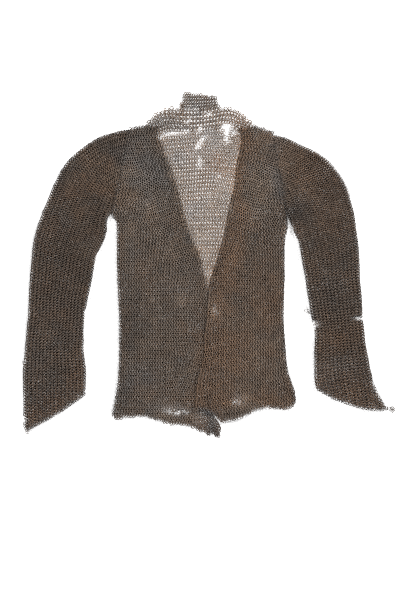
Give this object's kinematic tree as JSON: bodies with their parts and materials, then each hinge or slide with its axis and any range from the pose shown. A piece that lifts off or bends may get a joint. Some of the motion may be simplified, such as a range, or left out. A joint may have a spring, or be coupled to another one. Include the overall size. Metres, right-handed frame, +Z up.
{
  "type": "chainmail hauberk",
  "caption": "Open-fronted mail shirt of linked iron rings, with long sleeves and a short standing collar, laid flat on its back.",
  "frame": {"origin": "middle of the garment's outline, on the surface that it lies on", "axes": "+Y from the hem to the collar, +X to the wearer's left, +Z up from the surface, out of the garment's front"},
  "size_m": [0.8762, 0.8274, 0.0097],
  "materials": {
    "back_mail": "worn, dull",
    "front_mail": "worn, dull, with brown rust",
    "sleeve_mail": "worn, dull, with brown rust",
    "collar_mail": "worn, dull"
  },
  "bodies": {
    "root": {"back": "back_mail", "front_right": "front_mail", "front_left": "front_mail", "sleeve_right": "sleeve_mail", "sleeve_left": "sleeve_mail", "collar": "collar_mail"}
  },
  "joints": []
}
